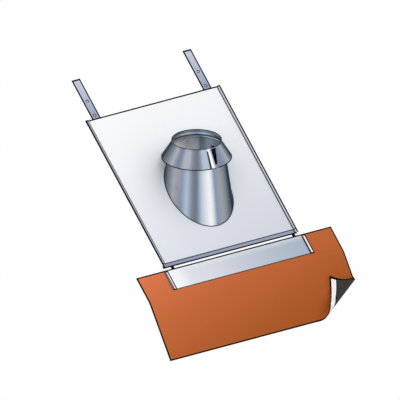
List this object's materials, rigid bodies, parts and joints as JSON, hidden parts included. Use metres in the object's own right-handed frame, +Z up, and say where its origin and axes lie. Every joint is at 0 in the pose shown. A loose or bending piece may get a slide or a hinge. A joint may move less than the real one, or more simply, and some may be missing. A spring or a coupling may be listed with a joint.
{
  "type": "tile roof flashing",
  "caption": "Roof flashing for a round flue: folded base plate with an oblique cone, storm collar, fixing straps and a flexible terracotta apron with a curled corner.",
  "frame": {"origin": "where the flue axis crosses the underside of the base plate", "axes": "+Z is up along the flue axis, +X runs along the eaves and +Y runs uphill; the base plate leans at the roof's pitch of 37 degrees"},
  "size_m": [0.9326, 0.9863, 0.8278],
  "materials": {
    "plate_steel": "smooth satin sheet steel",
    "cone_steel": "bright rolled stainless steel",
    "collar_steel": "bright rolled stainless steel",
    "strap_steel": "zinc-coated steel strip",
    "strip_steel": "smooth satin sheet steel",
    "apron_terracotta": "matt coloured flexible sheet",
    "apron_black": "black butyl backing",
    "liner_paper": "smooth white release paper"
  },
  "bodies": {
    "root": {"base_plate": "plate_steel", "cone": "cone_steel", "storm_collar": "collar_steel", "fixing_strap_left": "strap_steel", "fixing_strap_right": "strap_steel", "apron_strip": "strip_steel", "apron_sheet": "apron_terracotta", "apron_backing": "apron_black", "release_liner": "liner_paper"}
  },
  "joints": []
}
